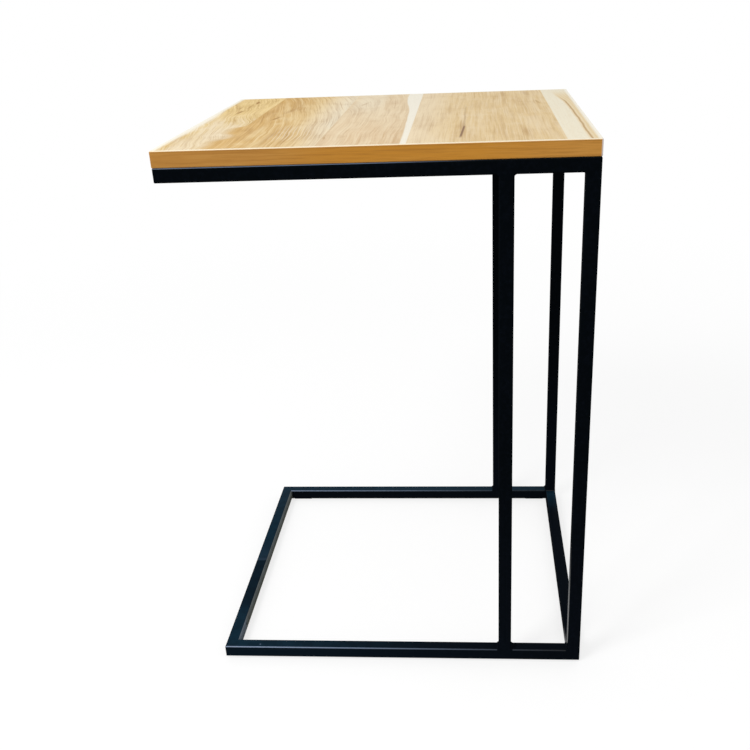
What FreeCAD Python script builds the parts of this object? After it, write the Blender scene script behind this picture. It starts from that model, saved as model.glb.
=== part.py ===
"""A C-shaped side table: an oak-faced board on a welded frame of square steel tube.

Two mitred rings of tube, one on the floor and one under the board, have the same footprint. Four posts
join them near one end, so that the other end is open and slides over a sofa seat or a bed. The origin is
on the floor under the middle of the table. +X points to the end with the posts, -Y to the near side and
+Z up. All sizes are in millimetres.
"""
import FreeCAD, Part
import enum
import os
import Sketcher

# Each driving size of the table: alias in the sheet, value, meaning.
DRIVING_SIZES = [
    ("TableLength", 470, "outer length of both rings and the board, along X"),
    ("TableDepth", 420, "outer depth of both rings and the board, along Y"),
    ("TableHeight", 670, "floor to the top of the board"),
    ("BoardThickness", 18, "whole board with its two facing sheets"),
    ("LaminateThickness", 0.8, "decor sheet on top of the board"),
    ("LinerThickness", 0.4, "balancing sheet under the board"),
    ("BandThickness", 1, "edge band on the board's four sides"),
    ("ArrisChamfer", 0.8, "leg of the chamfer on the band's outer edges"),
    ("TubeSize", 16, "side of the square tube"),
    ("TubeWall", 1.2, "wall of the square tube"),
    ("TubeRadius", 2, "outer corner radius of the square tube and of the rings' ground corners"),
    ("PostGap", 73, "clear gap between a corner post and its inner post"),
    ("WeldLeg", 2, "leg of the fillet welds in the inside corners"),
    ("ScrewEndDistance", 60, "long side of the table to the middle of a board screw"),
    ("ScrewLength", 28, "under the head to the tip"),
    ("ScrewRadius", 2, "thread of the board screws"),
    ("ScrewHeadRadius", 4, "pan head of the board screws"),
    ("ScrewHeadHeight", 2.4, "pan head of the board screws"),
    ("ScrewTipLength", 3, "cone at the end of the screw"),
    ("TubeHoleClearance", 0.5, "radial, screw to the hole in the tube"),
    ("PilotClearance", 0.05, "radial, screw to the hole in the board"),
    ("PilotOverrun", 1, "pilot hole beyond the screw's tip"),
    ("PadThickness", 2, "floor pads under the base ring"),
    ("PadWidth", 9, "floor pads, across the rail"),
    ("PadLength", 30, "floor pads, along the rail"),
    ("PadEndDistance", 20, "end of the table to the end of a floor pad"),
]

# Lengths that several pieces share, as expressions on the sheet.
BOARD_UNDERSIDE = "(Sizes.TableHeight - Sizes.BoardThickness)"
TOP_RING_UNDERSIDE = f"({BOARD_UNDERSIDE} - Sizes.TubeSize)"
BASE_RING_TOP = "(Sizes.PadThickness + Sizes.TubeSize)"
POST_LENGTH = f"({TOP_RING_UNDERSIDE} - {BASE_RING_TOP})"
RAIL_Y = "((Sizes.TableDepth - Sizes.TubeSize) / 2)"
RAIL_X = "((Sizes.TableLength - Sizes.TubeSize) / 2)"
INNER_POST_X = f"({RAIL_X} - Sizes.TubeSize - Sizes.PostGap)"
SCREW_Y = "(Sizes.TableDepth / 2 - Sizes.ScrewEndDistance)"
CORE_THICKNESS = "(Sizes.BoardThickness - Sizes.LaminateThickness - Sizes.LinerThickness)"
TUBE_HOLE_RADIUS = "(Sizes.ScrewRadius + Sizes.TubeHoleClearance)"
PILOT_RADIUS = "(Sizes.ScrewRadius + Sizes.PilotClearance)"
TUBE_INSIDE = "(Sizes.TubeSize - 2 * Sizes.TubeWall)"
TUBE_INSIDE_RADIUS = "(Sizes.TubeRadius - Sizes.TubeWall)"
ARRIS_CHAMFER = "min(Sizes.ArrisChamfer; 0.9 * Sizes.BandThickness)"

SIDES = {"near": -1, "far": 1}
ENDS = {"open_end": -1, "post_end": 1}


# ---------------------------------------------------------------- document, sheet and small helpers

def add_sizes(doc):
    """Write the driving sizes into the spreadsheet, one row each."""
    sheet = doc.addObject("Spreadsheet::Sheet", "Sizes")
    for row, (alias, value, meaning) in enumerate(DRIVING_SIZES, start=1):
        sheet.set(f"A{row}", alias)
        sheet.set(f"B{row}", str(value))
        sheet.set(f"C{row}", meaning)
        sheet.setAlias(f"B{row}", alias)
    doc.recompute()
    return sheet


def number(doc, expression):
    """The present value of an expression on the sheet."""
    value = doc.Sizes.evalExpression(str(expression))
    return float(getattr(value, "Value", value))


def place(item, x="0", y="0", z="0", turn_about_z=0):
    """Put a sub-part at expressions x, y, z, turned about the vertical by an angle in degrees."""
    item.Placement = FreeCAD.Placement(
        FreeCAD.Vector(0, 0, 0), FreeCAD.Rotation(FreeCAD.Vector(0, 0, 1), turn_about_z))
    item.setExpression("Placement.Base.x", x)
    item.setExpression("Placement.Base.y", y)
    item.setExpression("Placement.Base.z", z)


def new_body(doc, name):
    """An empty body whose label is also the name of its file."""
    body = doc.addObject("PartDesign::Body", name)
    body.Label = name
    return body


def origin_plane(body, role):
    """One of the body's own origin planes: XY_Plane, XZ_Plane or YZ_Plane."""
    return next(item for item in body.Origin.OriginFeatures if item.Role == role)


def new_sketch(body, name, role):
    """A sketch on one of the body's own origin planes."""
    sketch = body.newObject("Sketcher::SketchObject", f"{body.Name}_{name}")
    sketch.AttachmentSupport = [(origin_plane(body, role), "")]
    sketch.MapMode = "FlatFace"
    return sketch


def shift_sketch(sketch, x="0", y="0", z="0"):
    """Move a sketch from its plane's origin, in the sketch's own directions, by expressions."""
    sketch.setExpression("AttachmentOffset.Base.x", x)
    sketch.setExpression("AttachmentOffset.Base.y", y)
    sketch.setExpression("AttachmentOffset.Base.z", z)


def pad(body, name, sketch, length, symmetric=False):
    """Extrude a sketch along its plane's normal, or half to each side of the plane."""
    feature = body.newObject("PartDesign::Pad", f"{body.Name}_{name}")
    feature.Profile = sketch
    feature.SideType = "Symmetric" if symmetric else "One side"
    feature.setExpression("Length", length)
    return feature


def pocket(body, name, sketch, depth=None):
    """Cut a sketch through the body both ways, or to a depth along its plane's normal."""
    feature = body.newObject("PartDesign::Pocket", f"{body.Name}_{name}")
    feature.Profile = sketch
    if depth is None:
        feature.Type = "ThroughAll"
        feature.SideType = "Symmetric"
    else:
        feature.Reversed = True
        feature.setExpression("Length", depth)
    return feature


def mirror_both_ways(body, name, originals):
    """Repeat features across the body's XZ plane and then its YZ plane."""
    repeat = body.newObject("PartDesign::MultiTransform", f"{body.Name}_{name}")
    repeat.Originals = originals
    mirrors = []
    for role in ("XZ_Plane", "YZ_Plane"):
        mirror = body.newObject("PartDesign::Mirrored", f"{body.Name}_{name}_{role}")
        mirror.MirrorPlane = (origin_plane(body, role), [""])
        mirrors.append(mirror)
    repeat.Transformations = mirrors
    body.Tip = repeat
    return repeat


def dress_edges(body, name, base, kind, size_property, size, is_wanted):
    """Fillet or chamfer the edges of a feature that a test picks."""
    body.Document.recompute()
    wanted = [f"Edge{index}" for index, edge in enumerate(base.Shape.Edges, start=1) if is_wanted(edge)]
    dressed = body.newObject(kind, f"{body.Name}_{name}")
    dressed.Base = (base, wanted)
    dressed.setExpression(size_property, size)
    return dressed


# ---------------------------------------------------------------- sketch profiles

class Point(enum.IntEnum):
    """The point of a line, arc or circle that a constraint holds, as the Sketcher numbers them."""
    START = 1
    END = 2
    CENTRE = 3


def fix_distance(doc, sketch, kind, geometry, point, expression):
    """Hold a point at a DistanceX or DistanceY from the sketch's origin, given by an expression."""
    if expression == "0":
        axis = -2 if kind == "DistanceX" else -1
        sketch.addConstraint(Sketcher.Constraint("PointOnObject", geometry, point, axis))
    else:
        value = number(doc, expression)
        index = sketch.addConstraint(Sketcher.Constraint(kind, -1, 1, geometry, point, value))
        sketch.setExpression(f"Constraints[{index}]", expression)


def fix_point(doc, sketch, geometry, point, x, y):
    """Hold one point of a sketch at expressions x and y."""
    fix_distance(doc, sketch, "DistanceX", geometry, point, x)
    fix_distance(doc, sketch, "DistanceY", geometry, point, y)


def add_circle(doc, sketch, x, y, radius):
    """A circle whose centre and radius are expressions."""
    centre = FreeCAD.Vector(number(doc, x), number(doc, y), 0)
    shape = Part.Circle(centre, FreeCAD.Vector(0, 0, 1), number(doc, radius))
    circle = sketch.addGeometry(shape, False)
    fix_point(doc, sketch, circle, Point.CENTRE, x, y)
    index = sketch.addConstraint(Sketcher.Constraint("Radius", circle, number(doc, radius)))
    sketch.setExpression(f"Constraints[{index}]", radius)


def add_outline(doc, sketch, corners, arcs=None):
    """A closed outline, anticlockwise, through corners that are pairs of expressions.

    arcs maps the number of a corner to (centre x, centre y, turn) for an arc that runs from that corner
    to the next, where turn is "out" for a rounded corner and "in" for a hollow one. The two corners and
    the x of the centre settle the arc.
    """
    arcs = arcs or {}
    points = [FreeCAD.Vector(number(doc, x), number(doc, y), 0) for x, y in corners]
    pieces = []
    for index, (start, end) in enumerate(zip(points, points[1:] + points[:1])):
        if index not in arcs:
            line = sketch.addGeometry(Part.LineSegment(start, end), False)
            pieces.append((line, Point.START, Point.END))
            continue
        centre_x, centre_y, turn = arcs[index]
        centre = FreeCAD.Vector(number(doc, centre_x), number(doc, centre_y), 0)
        circle = Part.Circle(centre, FreeCAD.Vector(0, 0, 1), centre.distanceToPoint(start))
        first, last = (start, end) if turn == "out" else (end, start)
        arc = Part.ArcOfCircle(circle, circle.parameter(first), circle.parameter(last))
        piece = sketch.addGeometry(arc, False)
        turned = (piece, Point.START, Point.END) if turn == "out" else (piece, Point.END, Point.START)
        pieces.append(turned)
        fix_distance(doc, sketch, "DistanceX", piece, Point.CENTRE, centre_x)
    for (piece, start, end), following in zip(pieces, pieces[1:] + pieces[:1]):
        sketch.addConstraint(Sketcher.Constraint("Coincident", piece, end, following[0], following[1]))
    for (piece, start, end), (x, y) in zip(pieces, corners):
        fix_point(doc, sketch, piece, start, x, y)


def add_rectangle(doc, sketch, left, right, bottom, top):
    """A rectangle between four expressions."""
    add_outline(doc, sketch, [(left, bottom), (right, bottom), (right, top), (left, top)])


def add_centred_rectangle(doc, sketch, width, height):
    """A rectangle centred on the sketch's origin."""
    add_rectangle(doc, sketch, f"-{width} / 2", f"{width} / 2", f"-{height} / 2", f"{height} / 2")


def add_rounded_square(doc, sketch, side, radius, x="0", y="0"):
    """A square with rounded corners, centred at expressions x and y."""
    left = f"{x} - {side} / 2"
    right = f"{x} + {side} / 2"
    bottom = f"{y} - {side} / 2"
    top = f"{y} + {side} / 2"
    corners = [
        (f"{left} + {radius}", bottom),
        (f"{right} - {radius}", bottom),
        (right, f"{bottom} + {radius}"),
        (right, f"{top} - {radius}"),
        (f"{right} - {radius}", top),
        (f"{left} + {radius}", top),
        (left, f"{top} - {radius}"),
        (left, f"{bottom} + {radius}"),
    ]
    arcs = {
        1: (f"{right} - {radius}", f"{bottom} + {radius}", "out"),
        3: (f"{right} - {radius}", f"{top} - {radius}", "out"),
        5: (f"{left} + {radius}", f"{top} - {radius}", "out"),
        7: (f"{left} + {radius}", f"{bottom} + {radius}", "out"),
    }
    add_outline(doc, sketch, corners, arcs)


def add_corner_waste(doc, sketch, x, y, sign_x, sign_y):
    """What grinding takes off a square corner at x and y, each with its sign, to leave the tube's radius."""
    inner_x = f"{sign_x}({x} - Sizes.TubeRadius)"
    inner_y = f"{sign_y}({y} - Sizes.TubeRadius)"
    outer_x = f"{sign_x}({x})"
    outer_y = f"{sign_y}({y})"
    corners = [(outer_x, inner_y), (outer_x, outer_y), (inner_x, outer_y)]
    if sign_x != sign_y:
        corners.reverse()
    add_outline(doc, sketch, corners, {2: (inner_x, inner_y, "in")})


# ---------------------------------------------------------------- square tube: rails and posts

def hollow_square_bar(doc, body, role, length, symmetric):
    """Pad the tube's section on one of the body's planes and bore it from end to end."""
    outside = new_sketch(body, "outside", role)
    add_rounded_square(doc, outside, "Sizes.TubeSize", "Sizes.TubeRadius")
    pad(body, "bar", outside, length, symmetric)
    inside = new_sketch(body, "inside", role)
    add_rounded_square(doc, inside, TUBE_INSIDE, TUBE_INSIDE_RADIUS)
    pocket(body, "bore", inside)


def add_rail(doc, name, length, has_screw_holes):
    """A rail along its own X axis, mitred at both ends, with its long face at -Y.

    The sharp outer corner of each mitre is ground to the tube's radius.
    """
    body = new_body(doc, name)
    hollow_square_bar(doc, body, "YZ_Plane", length, symmetric=True)

    mitres = new_sketch(body, "mitres", "XY_Plane")
    for sign in ("-", ""):
        tip = f"{sign}({length} / 2 + Sizes.TubeSize)"
        root = f"{sign}({length} / 2 - 2 * Sizes.TubeSize)"
        corners = [(tip, "-1.5 * Sizes.TubeSize"), (tip, "1.5 * Sizes.TubeSize"), (root, "1.5 * Sizes.TubeSize")]
        add_outline(doc, mitres, corners if sign == "" else corners[::-1])
    pocket(body, "mitre_cuts", mitres)

    waste = new_sketch(body, "corner_waste", "XY_Plane")
    for sign in ("-", ""):
        add_corner_waste(doc, waste, f"{length} / 2", "Sizes.TubeSize / 2", sign, "-")
    pocket(body, "ground_corners", waste)

    if has_screw_holes:
        holes = new_sketch(body, "holes", "XY_Plane")
        for sign in ("-", ""):
            add_circle(doc, holes, f"{sign}{SCREW_Y}", "0", TUBE_HOLE_RADIUS)
        pocket(body, "screw_holes", holes)
    return body


def add_ring(doc, level_name, z, has_screw_holes):
    """The four mitred rails of a ring, with the ring's underside at z and any holes in its end rails."""
    middle = f"{z} + Sizes.TubeSize / 2"
    rails = []
    for side, sign in SIDES.items():
        rail = add_rail(doc, f"{level_name}_rail_{side}", "Sizes.TableLength", has_screw_holes=False)
        place(rail, y=f"{sign} * {RAIL_Y}", z=middle, turn_about_z=0 if side == "near" else 180)
        rails.append(rail)
    for end, sign in ENDS.items():
        rail = add_rail(doc, f"{level_name}_rail_{end}", "Sizes.TableDepth", has_screw_holes)
        place(rail, x=f"{sign} * {RAIL_X}", z=middle, turn_about_z=90 * sign)
        rails.append(rail)
    return rails


def add_posts(doc):
    """Two corner posts and two inner posts, cut square, between the rings."""
    posts = []
    for kind, x in (("corner", RAIL_X), ("inner", INNER_POST_X)):
        for side, sign in SIDES.items():
            body = new_body(doc, f"{kind}_post_{side}")
            hollow_square_bar(doc, body, "XY_Plane", POST_LENGTH, symmetric=False)
            place(body, x=x, y=f"{sign} * {RAIL_Y}", z=BASE_RING_TOP)
            posts.append(body)
    return posts


# ---------------------------------------------------------------- welds

def add_frame_envelope(doc):
    """The outside of the base ring and the feet of the posts as one solid, to shape the welds with."""
    body = new_body(doc, "frame_envelope")
    outline = new_sketch(body, "outline", "XY_Plane")
    add_centred_rectangle(doc, outline, "Sizes.TableLength", "Sizes.TableDepth")
    pad(body, "slab", outline, "Sizes.TubeSize")
    window = new_sketch(body, "window", "XY_Plane")
    add_centred_rectangle(
        doc, window, "(Sizes.TableLength - 2 * Sizes.TubeSize)", "(Sizes.TableDepth - 2 * Sizes.TubeSize)")
    ring = pocket(body, "ring", window)
    dress_edges(body, "rounding", ring, "PartDesign::Fillet", "Radius", "Sizes.TubeRadius", is_level)
    grind_table_corners(doc, body, ends=("-", ""))

    feet = new_sketch(body, "feet", "XY_Plane")
    shift_sketch(feet, z="Sizes.TubeSize")
    for x in (RAIL_X, INNER_POST_X):
        for sign in SIDES.values():
            add_rounded_square(
                doc, feet, "Sizes.TubeSize", "Sizes.TubeRadius", x, f"{sign} * {RAIL_Y}")
    pad(body, "feet_pad", feet, "2 * Sizes.WeldLeg")
    place(body, z="Sizes.PadThickness")
    return body


def grind_table_corners(doc, body, ends):
    """Round the table's upright outer corners on a body, at the open end "-", the post end "" or both."""
    waste = new_sketch(body, "corner_waste", "XY_Plane")
    for sign_x in ends:
        for sign_y in ("-", ""):
            add_corner_waste(doc, waste, "Sizes.TableLength / 2", "Sizes.TableDepth / 2", sign_x, sign_y)
    return pocket(body, "ground_corners", waste)


def is_level(edge):
    """True for an edge that runs horizontally."""
    return abs(edge.BoundBox.ZLength) < 1e-6


def add_weld_stock(doc):
    """Weld metal round the foot of each post before the tubes are taken out of it.

    It fills the groove that the rail's rounded edges leave under a post, flush with the outer faces, and
    stands up the post as a hollow fillet wherever there is rail beside the post.
    """
    body = new_body(doc, "weld_stock")
    half = "Sizes.TubeSize / 2"
    low = "Sizes.TubeSize - Sizes.TubeRadius"
    level = "Sizes.TubeSize"
    high = "Sizes.TubeSize + Sizes.WeldLeg"
    leg = "Sizes.WeldLeg"

    along_x = new_sketch(body, "along_x", "XZ_Plane")
    shift_sketch(along_x, z=RAIL_Y)
    inner_left = f"{INNER_POST_X} - {half}"
    inner_right = f"{INNER_POST_X} + {half}"
    add_outline(doc, along_x, [
        (f"{inner_left} - {leg}", low),
        (f"{inner_right} + {leg}", low),
        (f"{inner_right} + {leg}", level),
        (inner_right, high),
        (inner_left, high),
        (f"{inner_left} - {leg}", level),
    ], {
        2: (f"{inner_right} + {leg}", high, "in"),
        4: (f"{inner_left} - {leg}", high, "in"),
    })
    corner_left = f"{RAIL_X} - {half}"
    corner_right = f"{RAIL_X} + {half}"
    add_outline(doc, along_x, [
        (f"{corner_left} - {leg}", low),
        (corner_right, low),
        (corner_right, high),
        (corner_left, high),
        (f"{corner_left} - {leg}", level),
    ], {3: (f"{corner_left} - {leg}", high, "in")})
    first = pad(body, "long_rail_beads", along_x, "Sizes.TubeSize", symmetric=True)

    along_y = new_sketch(body, "along_y", "YZ_Plane")
    shift_sketch(along_y, z=RAIL_X)
    outer = f"-{RAIL_Y} - {half}"
    inner = f"-{RAIL_Y} + {half}"
    add_outline(doc, along_y, [
        (outer, low),
        (f"{inner} + {leg}", low),
        (f"{inner} + {leg}", level),
        (inner, high),
        (outer, high),
    ], {2: (f"{inner} + {leg}", high, "in")})
    second = pad(body, "end_rail_beads", along_y, "Sizes.TubeSize", symmetric=True)

    far_side = body.newObject("PartDesign::Mirrored", "weld_stock_far_side")
    far_side.MirrorPlane = (origin_plane(body, "XZ_Plane"), [""])
    far_side.Originals = [first, second]
    body.Tip = far_side
    grind_table_corners(doc, body, ends=("",))
    place(body, z="Sizes.PadThickness")
    return body


def add_post_welds(doc):
    """The welds round the four posts' feet, and the same again mirrored up to their heads."""
    feet = doc.addObject("Part::Cut", "base_post_welds")
    feet.Label = "base_post_welds"
    feet.Base = add_weld_stock(doc)
    feet.Tool = add_frame_envelope(doc)

    heads = doc.addObject("Part::Mirroring", "top_post_welds")
    heads.Label = "top_post_welds"
    heads.Source = feet
    heads.Normal = FreeCAD.Vector(0, 0, 1)
    heads.setExpression("Base.z", f"({BASE_RING_TOP} + {TOP_RING_UNDERSIDE}) / 2")
    return [feet, heads]


def add_corner_welds(doc, level_name, z):
    """Upright hollow fillets inside the four mitred corners of a ring."""
    body = new_body(doc, f"{level_name}_corner_welds")
    corner = new_sketch(body, "corner", "XY_Plane")
    x = "Sizes.TubeSize - Sizes.TableLength / 2"
    y = "Sizes.TubeSize - Sizes.TableDepth / 2"
    leg = "Sizes.WeldLeg"
    add_outline(
        doc, corner, [(x, y), (f"{x} + {leg}", y), (x, f"{y} + {leg}")],
        {1: (f"{x} + {leg}", f"{y} + {leg}", "in")})
    shift_sketch(corner, z="Sizes.TubeRadius")
    bead = pad(body, "bead", corner, "Sizes.TubeSize - 2 * Sizes.TubeRadius")
    mirror_both_ways(body, "four_corners", [bead])
    place(body, z=z)
    return body


# ---------------------------------------------------------------- board

def add_panel(doc, name, z, thickness):
    """A sheet that fills the board inside its edge bands."""
    body = new_body(doc, name)
    outline = new_sketch(body, "outline", "XY_Plane")
    add_centred_rectangle(
        doc, outline, "(Sizes.TableLength - 2 * Sizes.BandThickness)",
        "(Sizes.TableDepth - 2 * Sizes.BandThickness)")
    pad(body, "sheet", outline, thickness)
    place(body, z=z)
    return body


def drill_for_screws(doc, body, depth):
    """Holes for the four board screws, upwards from the panel's underside."""
    circle = new_sketch(body, "circle", "XY_Plane")
    add_circle(doc, circle, RAIL_X, f"-{SCREW_Y}", PILOT_RADIUS)
    hole = pocket(body, "hole", circle, depth)
    mirror_both_ways(body, "holes", [hole])


def add_edge_band(doc, name, length, is_on_long_side):
    """A band along its own X axis, with its outer face at -Y and its outer edges chamfered.

    The bands on the long sides cover the ends of the other two, so their ends are chamfered as well.
    """
    body = new_body(doc, name)
    section = new_sketch(body, "section", "YZ_Plane")
    add_rectangle(
        doc, section, "-Sizes.BandThickness / 2", "Sizes.BandThickness / 2", "0", "Sizes.BoardThickness")
    strip = pad(body, "strip", section, length, symmetric=True)

    def is_outer(edge):
        middle = edge.BoundBox.Center
        if is_on_long_side:
            return middle.y < strip.Shape.BoundBox.YMax - 1e-6
        return edge.BoundBox.XLength > 1e-6 and middle.y < 0

    dress_edges(body, "arris", strip, "PartDesign::Chamfer", "Size", ARRIS_CHAMFER, is_outer)
    return body


def add_board(doc):
    """The core, its two facing sheets and its four edge bands."""
    liner = add_panel(doc, "underside_liner", BOARD_UNDERSIDE, "Sizes.LinerThickness")
    drill_for_screws(doc, liner, "2 * Sizes.LinerThickness")
    core = add_panel(doc, "board_core", f"{BOARD_UNDERSIDE} + Sizes.LinerThickness", CORE_THICKNESS)
    drill_for_screws(
        doc, core, "Sizes.ScrewLength - Sizes.TubeSize - Sizes.LinerThickness + Sizes.PilotOverrun")
    laminate = add_panel(
        doc, "top_laminate", "Sizes.TableHeight - Sizes.LaminateThickness", "Sizes.LaminateThickness")
    pieces = [liner, core, laminate]

    for side, sign in SIDES.items():
        band = add_edge_band(doc, f"edge_band_{side}", "Sizes.TableLength", True)
        place(band, y=f"{sign} * (Sizes.TableDepth - Sizes.BandThickness) / 2", z=BOARD_UNDERSIDE,
              turn_about_z=0 if side == "near" else 180)
        pieces.append(band)
    for end, sign in ENDS.items():
        length = "(Sizes.TableDepth - 2 * Sizes.BandThickness)"
        band = add_edge_band(doc, f"edge_band_{end}", length, False)
        place(band, x=f"{sign} * (Sizes.TableLength - Sizes.BandThickness) / 2", z=BOARD_UNDERSIDE,
              turn_about_z=90 * sign)
        pieces.append(band)
    return pieces


# ---------------------------------------------------------------- screws and floor pads

def add_screws(doc):
    """Four pan-head screws up through the end rails of the top ring into the board."""
    body = new_body(doc, "top_screws")
    body.AllowCompound = True
    profile = new_sketch(body, "profile", "XZ_Plane")
    shift_sketch(profile, x=RAIL_X, z=SCREW_Y)
    head_end = "-Sizes.ScrewHeadHeight"
    chamfer = "Sizes.ScrewHeadHeight / 2"
    add_outline(doc, profile, [
        ("0", head_end),
        (f"Sizes.ScrewHeadRadius - {chamfer}", head_end),
        ("Sizes.ScrewHeadRadius", f"{head_end} + {chamfer}"),
        ("Sizes.ScrewHeadRadius", "0"),
        ("Sizes.ScrewRadius", "0"),
        ("Sizes.ScrewRadius", "Sizes.ScrewLength - Sizes.ScrewTipLength"),
        ("0", "Sizes.ScrewLength"),
    ])
    screw = body.newObject("PartDesign::Revolution", "top_screws_screw")
    screw.Profile = profile
    screw.ReferenceAxis = (profile, ["V_Axis"])
    screw.Angle = 360
    mirror_both_ways(body, "four_screws", [screw])
    place(body, z=TOP_RING_UNDERSIDE)
    return body


def add_foot_pads(doc):
    """A floor pad, cut from rubber strip, under each end of the two long base rails."""
    pads = []
    x = "(Sizes.TableLength / 2 - Sizes.PadEndDistance - Sizes.PadLength / 2)"
    for side, side_sign in SIDES.items():
        for end, end_sign in ENDS.items():
            body = new_body(doc, f"foot_pad_{side}_{end}")
            outline = new_sketch(body, "outline", "XY_Plane")
            add_centred_rectangle(doc, outline, "Sizes.PadLength", "Sizes.PadWidth")
            pad(body, "rubber", outline, "Sizes.PadThickness")
            place(body, x=f"{end_sign} * {x}", y=f"{side_sign} * {RAIL_Y}")
            pads.append(body)
    return pads


# ---------------------------------------------------------------- the whole table

def check_document(doc, nodes):
    """Stop if any object failed, any cut removed nothing, or any sub-part's solids are not sound."""
    for item in doc.Objects:
        if "Invalid" in item.State or "Error" in item.State:
            raise RuntimeError(f"{item.Name} did not compute: {item.State}")
        if item.isDerivedFrom("PartDesign::Pocket"):
            if item.Shape.Volume >= item.BaseFeature.Shape.Volume:
                raise RuntimeError(f"{item.Name} cuts nothing")
    for node in nodes:
        if node.Shape.isNull() or not node.Shape.isValid():
            raise RuntimeError(f"{node.Label} has no valid shape")
        box = node.Shape.BoundBox
        print(f"{node.Label}: {len(node.Shape.Solids)} solid(s), {node.Shape.Volume:.1f} mm3,"
              f" z {box.ZMin:.2f} to {box.ZMax:.2f}")


def main():
    doc = FreeCAD.newDocument("side_table")
    add_sizes(doc)
    nodes = add_board(doc)
    nodes += add_ring(doc, "top", TOP_RING_UNDERSIDE, has_screw_holes=True)
    nodes += add_ring(doc, "base", "Sizes.PadThickness", has_screw_holes=False)
    nodes += add_posts(doc)
    nodes += add_post_welds(doc)
    nodes.append(add_corner_welds(doc, "top", TOP_RING_UNDERSIDE))
    nodes.append(add_corner_welds(doc, "base", "Sizes.PadThickness"))
    nodes.append(add_screws(doc))
    nodes += add_foot_pads(doc)
    doc.recompute()
    check_document(doc, nodes)

    os.makedirs("parts", exist_ok=True)
    for node in nodes:
        node.Shape.exportStep(os.path.join("parts", f"{node.Label}.step"))


main()
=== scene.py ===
"""C-shaped side table: finishes, fixings and studio for the packed model.

An oak-decor board on a welded frame of black square tube, open at one end so
that the base slides under a seat. Run as a script in Blender 4.5. It dresses
the packed solids, replaces the screws and the floor pads with modelled ones,
and sets the stage.
"""

import math
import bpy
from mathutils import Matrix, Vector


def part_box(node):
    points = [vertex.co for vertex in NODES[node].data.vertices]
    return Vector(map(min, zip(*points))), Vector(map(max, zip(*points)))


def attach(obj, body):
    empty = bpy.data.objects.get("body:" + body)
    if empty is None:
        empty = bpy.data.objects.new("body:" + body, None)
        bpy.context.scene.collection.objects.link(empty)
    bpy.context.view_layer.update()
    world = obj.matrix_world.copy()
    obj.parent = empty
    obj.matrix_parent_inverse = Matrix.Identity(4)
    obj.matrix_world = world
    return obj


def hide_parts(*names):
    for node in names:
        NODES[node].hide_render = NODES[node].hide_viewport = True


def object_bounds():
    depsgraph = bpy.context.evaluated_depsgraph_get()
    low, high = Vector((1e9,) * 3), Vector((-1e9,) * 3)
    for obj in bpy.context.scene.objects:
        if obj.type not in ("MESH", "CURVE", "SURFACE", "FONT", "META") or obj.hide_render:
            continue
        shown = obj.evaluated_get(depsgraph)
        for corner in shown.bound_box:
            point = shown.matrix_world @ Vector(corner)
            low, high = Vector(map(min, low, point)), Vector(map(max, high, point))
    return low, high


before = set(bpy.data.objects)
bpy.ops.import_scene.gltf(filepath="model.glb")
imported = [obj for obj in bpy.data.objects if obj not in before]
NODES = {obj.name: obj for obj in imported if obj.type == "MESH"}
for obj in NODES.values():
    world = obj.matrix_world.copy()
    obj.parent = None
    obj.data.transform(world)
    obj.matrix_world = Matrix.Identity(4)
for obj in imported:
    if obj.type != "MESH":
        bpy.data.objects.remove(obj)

from types import SimpleNamespace

import bmesh
import bpy
from mathutils import Euler, Matrix, Vector

bl_info = {
    "name": "C-shaped side table",
    "version": (1, 0, 0),
    "blender": (4, 5, 0),
    "location": "3D View > Sidebar > Side Table",
    "description": "Finishes, fixings and studio for a C-shaped side table",
    "category": "Object",
}

MM = 0.001
CAD_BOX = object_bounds()
OPEN_END = CAD_BOX[0].x / MM
NEAR_SIDE = CAD_BOX[0].y / MM
LENGTH = (CAD_BOX[1].x - CAD_BOX[0].x) / MM
HEIGHT = CAD_BOX[1].z / MM
BOARD_LOW, BOARD_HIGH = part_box("top_laminate")
RINGS = ("top", "base")
SIDES = ("near", "far")
ENDS = ("open_end", "post_end")

# Knots and dark flecks of the oak print: place across and along it, half width and half length,
# all in millimetres, then lean and strength.
KNOTS = (
    (35, 380, 4.0, 22, 0.10, 0.90),
    (33, 340, 2.6, 30, 0.02, 0.45),
    (31, 285, 3.8, 24, -0.08, 0.80),
    (22, 330, 3.0, 30, 0.05, 0.30),
    (94, 216, 3.6, 20, -0.20, 0.75),
    (82, 122, 8.0, 34, 0.20, 0.25),
    (76, 260, 7.0, 60, 0.02, 0.25),
    (103, 290, 6.0, 50, -0.12, 0.30),
    (180, 52, 2.4, 14, 0.10, 0.40),
    (196, 330, 3.0, 22, -0.20, 0.30),
    (236, 250, 3.0, 40, 0.05, 0.25),
    (430, 300, 3.0, 26, 0.10, 0.40),
    (418, 395, 6.0, 40, 0.05, 0.30),
    (402, 60, 5.0, 50, 0.03, 0.25),
    (386, 395, 5.0, 40, 0.00, 0.30),
    (333, 90, 6.0, 90, 0.02, 0.38),
    (314, 250, 4.0, 60, 0.02, 0.20),
)

# Marks in the base ring's paint: millimetres from the open end, the near side and the floor.
DRAIN_HOLE = (16, 56, 11.7)
CHIPPED_SPOT = (47, 6, 18)


def linear(display_value):
    """A display value from 0 to 255 as Blender's linear number."""
    shown = display_value / 255
    return shown / 12.92 if shown <= 0.04045 else ((shown + 0.055) / 1.055) ** 2.4


def number(label, about, default, **kind):
    """A property with one number."""
    return bpy.props.FloatProperty(name=label, description=about, default=default, **kind)


def length(label, about, millimetres):
    """A size property, in metres, with its default given in millimetres."""
    return number(label, about, millimetres * MM, unit="LENGTH", precision=5)


def share(label, about, default):
    """A property from 0 to 1."""
    return number(label, about, default, min=0, max=1, subtype="FACTOR")


def colour(label, about, red, green, blue):
    """A colour property, with its default given as display values."""
    return bpy.props.FloatVectorProperty(
        name=label, description=about, default=(linear(red), linear(green), linear(blue)),
        size=3, min=0, max=1, subtype="COLOR",
    )


# ---------------- settings


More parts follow.
